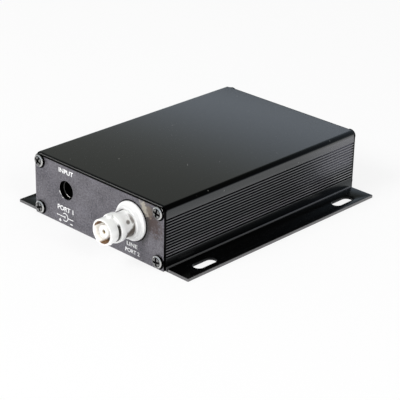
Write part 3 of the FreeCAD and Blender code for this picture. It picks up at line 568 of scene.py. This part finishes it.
def softened(nodeName, pieceName, finish, width, wide=None):
    # the solid's own mesh, merged into whole faces, with its edges broken as a real part's are;
    # wide picks the points whose edges get a broader bevel, share times the width
    startClean()
    piece = bpy.data.objects.new(pieceName, nodes[nodeName].data.copy())
    bpy.context.scene.collection.objects.link(piece)
    piece.select_set(True)
    bpy.context.view_layer.objects.active = piece
    bpy.ops.mesh.customdata_custom_splitnormals_clear()
    bpy.ops.object.mode_set(mode="EDIT")
    bpy.ops.mesh.select_all(action="SELECT")
    bpy.ops.mesh.remove_doubles(threshold=0.001 * mm)
    bpy.ops.mesh.dissolve_limited(angle_limit=math.radians(0.5))
    bpy.ops.object.mode_set(mode="OBJECT")
    mesh = piece.data
    normals = {}
    for face in mesh.polygons:
        for key in face.edge_keys:
            normals.setdefault(key, []).append(face.normal.copy())
    weights = mesh.attributes.new("bevel_weight_edge", "FLOAT", "EDGE")
    broad = 1.0 if wide is None else wide["share"]
    leastAngle = math.radians(30)
    for edge in mesh.edges:
        sides = normals[tuple(sorted(edge.vertices))]
        if len(sides) < 2 or sides[0].angle(sides[1]) < leastAngle:
            continue
        ends = [mesh.vertices[index].co for index in edge.vertices]
        atRim = wide is not None and all(wide["picks"](end) for end in ends)
        weights.data[edge.index].value = 1.0 if atRim else 1.0 / broad
    bevel = piece.modifiers.new("softEdges", "BEVEL")
    bevel.width = width * broad * mm
    bevel.segments = 2
    bevel.limit_method = "WEIGHT"
    bevel.use_clamp_overlap = False
    bpy.ops.object.modifier_apply(modifier=bevel.name)
    settle(piece, pieceName, finish)
    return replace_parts(piece, nodeName)


def combine(piece, other, operation):  # a DIFFERENCE or a UNION, in which the other piece is used up
    startClean()
    bpy.context.view_layer.objects.active = piece
    boolean = piece.modifiers.new("boolean", "BOOLEAN")
    boolean.operation = operation
    boolean.solver = "EXACT"
    boolean.object = other
    bpy.ops.object.modifier_apply(modifier=boolean.name)
    bpy.data.objects.remove(other)


# Case and end plates

def onTopRim(point):
    # the extrusion's sawn ends, along the outside of its top and its two rounded corners
    near = 0.01 * mm
    slack = 0.05 * mm
    past = Vector((abs(point.x) - (wallSide - topCorner), point.z - (caseHigh.z - topCorner)))
    onCorner = past.x > -near and past.y > -near and past.length > topCorner - slack
    return abs(point.y) > caseHigh.y - near and (point.z > caseHigh.z - near or onCorner)


softened("case_extrusion", "caseBody", "anodised", 0.07, {"share": 5, "picks": onTopRim})
softened("front_plate", "frontPlate", "plate", 0.08)
softened("rear_plate", "rearPlate", "plate", 0.08)
print("case and plates softened")


# Coaxial jack: distances run forward from the front plate's face

def addInsulator():
    insulator = {
        "bore": 4.95, "spigot": 6.25, "spigotLength": 0.95, "flange": 7.3, "flangeHeight": 1.0,
        "boss": 6.0, "bossEnd": 3.0, "edge": 0.3}
    piece = turned([
        (-insulator["spigotLength"], insulator["bore"]), (-insulator["spigotLength"], insulator["spigot"]),
        (0, insulator["spigot"]), (0, insulator["flange"]),
        (insulator["flangeHeight"], insulator["flange"]), (insulator["flangeHeight"], insulator["boss"]),
        (insulator["bossEnd"], insulator["boss"]), (insulator["bossEnd"], insulator["bore"])], coaxAxis)
    bevelled(piece, insulator["edge"], 4)
    settle(piece, "jackInsulator", "whitePlastic")
    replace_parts(piece, "coax_insulator")


def addShell():
    shell = {
        "rearBore": 3.15, "shank": 4.9, "rearEnd": -7.6, "ringStart": 7.1, "ringEnd": 9.4, "ring": 5.4,
        "relief": 4.6, "reliefEnd": 10.5, "nose": 4.85, "noseEnd": 13.9, "mouth": 4.05, "shoulder": 5.3,
        "edge": 0.2, "lugRadius": 1.0, "lugReach": 5.6, "lugSetback": 3.4, "lugRoot": 4.4, "lugEdge": 0.14}
    piece = turned([
        (shell["rearEnd"], shell["rearBore"]), (shell["rearEnd"], shell["shank"]),
        (shell["ringStart"], shell["shank"]), (shell["ringStart"], shell["ring"]),
        (shell["ringEnd"], shell["ring"]), (shell["ringEnd"], shell["relief"]),
        (shell["reliefEnd"], shell["relief"]), (shell["reliefEnd"], shell["nose"]),
        (shell["noseEnd"], shell["nose"]), (shell["noseEnd"], shell["mouth"]),
        (shell["shoulder"], shell["mouth"]), (shell["shoulder"], shell["rearBore"])], coaxAxis, sides=128)
    bevelled(piece, shell["edge"], 3)
    lugY = coaxAxis.y - (shell["noseEnd"] - shell["lugSetback"]) * mm
    middle = (shell["lugReach"] + shell["lugRoot"]) / 2 * mm
    for side in (-1, 1):
        startClean()
        bpy.ops.mesh.primitive_cylinder_add(
            vertices=40, radius=shell["lugRadius"] * mm, depth=(shell["lugReach"] - shell["lugRoot"]) * mm,
            location=(coaxAxis.x, lugY, coaxAxis.z + side * middle))
        lug = bpy.context.object
        bpy.ops.object.transform_apply(location=True, rotation=True, scale=True)
        bevelled(lug, shell["lugEdge"], 3)
        combine(piece, lug, "UNION")
    settle(piece, "jackShell", "nickel")
    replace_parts(piece, "coax_shell")


def addCore():
    core = {
        "bore": 0.75, "rearEnd": -7.6, "shank": 3.1, "shoulder": 5.3, "collar": 4.0, "collarEnd": 6.1,
        "post": 2.45, "postEnd": 13.2, "edge": 0.2}
    piece = turned([
        (core["rearEnd"], core["bore"]), (core["rearEnd"], core["shank"]), (core["shoulder"], core["shank"]),
        (core["shoulder"], core["collar"]), (core["collarEnd"], core["collar"]),
        (core["collarEnd"], core["post"]), (core["postEnd"], core["post"]),
        (core["postEnd"], core["bore"])], coaxAxis)
    bevelled(piece, core["edge"], 3)
    settle(piece, "jackCore", "whiteCore")
    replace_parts(piece, "coax_dielectric")


addInsulator()
addShell()
addCore()
print("coaxial jack modelled")


# Screws: a domed pan head with a cross recess, made once for each place

def addScrew(name, centre, outward, turn):
    screw = {
        "head": 2.4, "rim": 0.42, "height": 1.2, "crown": 5, "core": 1.08, "depth": 7.0, "point": 0.5,
        "axis": 0.05, "span": 3.3, "slot": 0.84, "slotDepth": 0.95, "taper": 0.75, "above": 0.2, "blade": 0.01}
    profile = [
        (-screw["depth"], screw["axis"]), (-screw["depth"], screw["core"] - screw["point"]),
        (screw["point"] - screw["depth"], screw["core"]), (0, screw["core"]), (0, screw["head"])]
    crownHeight = screw["height"] - screw["rim"]
    for step in range(screw["crown"]):
        lean = math.radians(90) * step / screw["crown"] * 0.97
        profile.append((screw["rim"] + crownHeight * math.sin(lean), screw["head"] * math.cos(lean)))
    profile.append((screw["height"], screw["axis"]))
    piece = turned(profile, centre, outward, sides=48)
    for width, length in ((screw["span"], screw["slot"]), (screw["slot"], screw["span"])):
        # a thin blade above the head is drawn down into a tapered cutter
        startClean()
        top = centre.y + outward * (screw["height"] + screw["above"]) * mm
        bpy.ops.mesh.primitive_cube_add(size=1, location=(centre.x, top, centre.z))
        blade = bpy.context.object
        blade.scale = (width * mm, screw["blade"] * mm, length * mm)
        bpy.ops.object.transform_apply(location=True, rotation=True, scale=True)
        bpy.ops.object.mode_set(mode="EDIT")
        bpy.ops.mesh.select_all(action="DESELECT")
        bpy.ops.object.mode_set(mode="OBJECT")
        for face in blade.data.polygons:
            face.select = face.normal.y * outward < -0.5
        bpy.ops.object.mode_set(mode="EDIT")
        drop = -outward * (screw["slotDepth"] + screw["above"]) * mm
        bpy.ops.mesh.extrude_region_move(TRANSFORM_OT_translate={"value": (0, drop, 0)})
        bpy.ops.transform.resize(
            value=(screw["taper"], 1, screw["taper"]), center_override=(centre.x, top, centre.z))
        bpy.ops.mesh.select_all(action="SELECT")
        bpy.ops.mesh.remove_doubles(threshold=0.0005 * mm)
        bpy.ops.mesh.normals_make_consistent(inside=False)
        bpy.ops.transform.rotate(
            value=turn, orient_axis="Y", center_override=(centre.x, centre.y, centre.z))
        bpy.ops.object.mode_set(mode="OBJECT")
        combine(piece, blade, "DIFFERENCE")
    return settle(piece, name, "screw", 28)


def addScrews():
    turns = [0.35, -0.5, 0.1, -0.2, 0.6, 0.2, -0.35, 0.45]
    count = 0
    for end, face, outward in (("front", frontFace, -1), ("rear", rearFace, 1)):
        group = []
        for side in (-1, 1):
            for z in screwHeights:
                centre = Vector((side * screwAcross, face, z))
                group.append(addScrew(f"{end}Screw{len(group)}", centre, outward, turns[count]))
                count += 1
        for piece in group:
            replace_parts(piece, f"{end}_screws")


addScrews()
print("screws modelled")


# Legends on the front plate: port marks and a polarity sign, printed as thin ink

def printed(piece, name):
    startClean()
    piece.select_set(True)
    bpy.context.view_layer.objects.active = piece
    bpy.ops.object.convert(target="MESH")
    return settle(piece, name, "ink", 10)


def addWord(name, words, centre, width, height):
    # the font's own size is 1, and the word is then scaled to the width and height of its letters
    startClean()
    across, upward = centre
    bpy.ops.object.text_add(location=(across * mm, frontFace, upward * mm), rotation=(math.radians(90), 0, 0))
    piece = bpy.context.object
    piece.data.body = words
    piece.data.align_x = "CENTER"
    piece.data.align_y = "CENTER"
    piece.data.size = 1
    piece.data.extrude = 0.01
    piece.data.offset = 0.024
    bpy.context.view_layer.update()
    piece.scale = (width * mm / piece.dimensions.x, height * mm / piece.dimensions.y, mm)
    return printed(piece, name)


def addPolaritySign():
    # a line to the centre dot, an open ring round it joined to a second line, and a plus and a minus below
    sign = {
        "dotX": -17.5, "level": 3.2, "ring": 1.55, "opening": 50, "leftEnd": -22.0, "rightEnd": -12.9,
        "plusX": -20.2, "minusX": -14.1, "low": 1.35, "arm": 0.68, "stroke": 0.17, "dot": 2.6,
        "dotReach": 0.2, "sturdy": 1.15, "flat": 0.1, "steps": 24}
    startClean()
    line = bpy.data.curves.new("polaritySign", "CURVE")
    line.dimensions = "3D"
    line.bevel_depth = sign["stroke"] * mm
    line.bevel_resolution = 3
    line.use_fill_caps = True

    def stroke(points, radius=1.0):
        spline = line.splines.new("POLY")
        spline.points.add(len(points) - 1)
        for point, (across, upward) in zip(spline.points, points):
            point.co = (across * mm, 0, upward * mm, 1)
            point.radius = radius

    level, ring, dotX, low, arm = (sign[key] for key in ("level", "ring", "dotX", "low", "arm"))
    stroke([(sign["leftEnd"], level), (dotX, level)])
    stroke([(dotX - sign["dotReach"], level), (dotX + sign["dotReach"], level)], sign["dot"])
    stroke([(dotX + ring, level), (sign["rightEnd"], level)])
    stroke([(sign["plusX"] - arm, low), (sign["plusX"] + arm, low)], sign["sturdy"])
    stroke([(sign["plusX"], low - arm), (sign["plusX"], low + arm)], sign["sturdy"])
    stroke([(sign["minusX"] - arm, low), (sign["minusX"] + arm, low)], sign["sturdy"])
    turn = (360 - 2 * sign["opening"]) / sign["steps"]
    angles = [math.radians(sign["opening"] - 180 + turn * step) for step in range(sign["steps"] + 1)]
    stroke([(dotX + ring * math.cos(angle), level + ring * math.sin(angle)) for angle in angles])
    piece = bpy.data.objects.new("polaritySign", line)
    bpy.context.scene.collection.objects.link(piece)
    piece.location = (0, frontFace, 0)
    piece.scale = (1, sign["flat"], 1)
    return printed(piece, "polaritySign")


addWord("legendInput", "INPUT", (-16.7, 21.3), 7.8, 1.8)
addWord("legendPortOne", "PORT 1", (-17.0, 6.4), 8.6, 1.9)
addWord("legendLine", "LINE", (18.0, 4.7), 5.4, 1.5)
addWord("legendPortTwo", "PORT 2", (18.2, 2.2), 7.2, 1.5)
addPolaritySign()
print("legends printed")


# Stage, sky, lamps and camera

def addStage():
    floorLook = {"size": 6, "drop": 0.02 * mm, "colour": shade(0.9, 0.9, 0.9), "glow": shade(1, 1, 1), "share": 0.8}
    startClean()
    bpy.ops.mesh.primitive_plane_add(size=floorLook["size"], location=(0, 0, caseLow.z - floorLook["drop"]))
    floor = bpy.context.object
    floor.name = "studioFloor"
    # a ray that sees the floor, or its image in a surface, finds it almost white, and lamps light it as paint
    finish = Finish("floorWhite")
    seen = finish.ray("Camera").larger(finish.ray("Glossy")).larger(finish.ray("Transmission"))
    matte = finish.add("ShaderNodeBsdfDiffuse", sockets={"Color": floorLook["colour"]})
    glow = finish.add("ShaderNodeEmission", sockets={"Color": floorLook["glow"], "Strength": 1.0})
    mixed = finish.add("ShaderNodeMixShader", sockets={0: seen * floorLook["share"], 1: matte, 2: glow})
    finish.add("ShaderNodeOutputMaterial", sockets={"Surface": mixed})
    floor.data.materials.append(finish.material)


def addWorld():
    # seen directly it is white, and in the surfaces it shows a grey sweep that brightens towards the horizon
    sky = {
        "near": -0.04, "far": 0.50, "low": 0.35, "high": 0.61, "ambient": 0.5, "white": shade(1, 1, 1),
        "nearTint": shade(0.97, 1.0, 0.90), "farTint": shade(0.80, 0.89, 1.0)}
    world = bpy.data.worlds.new("studioWorld")
    bpy.context.scene.world = world
    world.use_nodes = True
    finish = Finish("world", world.node_tree)
    glossy = finish.ray("Glossy").larger(finish.ray("Transmission"))
    x, y, z = finish.axes(finish.add("ShaderNodeTexCoord", output="Generated"))
    height = finish.between(y.size() - z, sky["near"], sky["far"])
    mirrored = height * (sky["high"] - sky["low"]) + sky["low"]
    strength = finish.ray("Camera").larger(glossy * mirrored + (1 - glossy) * sky["ambient"])
    colour = finish.blend(glossy, sky["white"], finish.blend(height, sky["nearTint"], sky["farTint"]))
    shader = finish.add("ShaderNodeBackground", sockets={"Color": colour, "Strength": strength})
    finish.add("ShaderNodeOutputWorld", sockets={"Surface": shader})


def addLamp(name, place, power, size=0.5):
    # the surfaces mirror the sky and the floor alone, so no lamp leaves a glare on the case
    startClean()
    bpy.ops.object.light_add(type="AREA", location=place)
    lamp = bpy.context.object
    lamp.name = name
    lamp.data.shape = "DISK"
    lamp.data.size = size
    lamp.data.energy = power
    lamp.visible_glossy = False
    lamp.rotation_euler = (-Vector(place)).to_track_quat("-Z", "Y").to_euler()


def addCamera():
    # the photograph's own view: angles in degrees, distance, aim and lens in millimetres
    camera = {
        "azimuth": 43.82, "elevation": 24.69, "roll": 1.23, "distance": 566.2, "lens": 133.8,
        "aimRight": 0.90, "aimUp": -0.14}
    azimuth, elevation, roll = (math.radians(camera[key]) for key in ("azimuth", "elevation", "roll"))
    back = Vector((
        math.sin(azimuth) * math.cos(elevation), -math.cos(azimuth) * math.cos(elevation),
        math.sin(elevation)))
    level = Vector((math.cos(azimuth), math.sin(azimuth), 0))
    upright = back.cross(level)
    right = level * math.cos(roll) + upright * math.sin(roll)
    up = upright * math.cos(roll) - level * math.sin(roll)
    eye = (right * camera["aimRight"] + up * camera["aimUp"] + back * camera["distance"]) * mm
    startClean()
    bpy.ops.object.camera_add(location=eye)
    view = bpy.context.object
    view.data.lens = camera["lens"]
    view.rotation_euler = Matrix((right, up, back)).transposed().to_euler()
    view.data.clip_start = 0.01
    bpy.context.scene.camera = view


addStage()
addWorld()
addLamp("keyLamp", (-0.25, -0.85, 0.75), 7.4)
addLamp("sideLamp", (0.95, -0.25, 0.6), 4.0)
addLamp("rearLamp", (0.0, 1.15, 0.08), 4.0)
addCamera()
bpy.context.scene.view_settings.view_transform = "Standard"
print("stage, lamps and camera set")
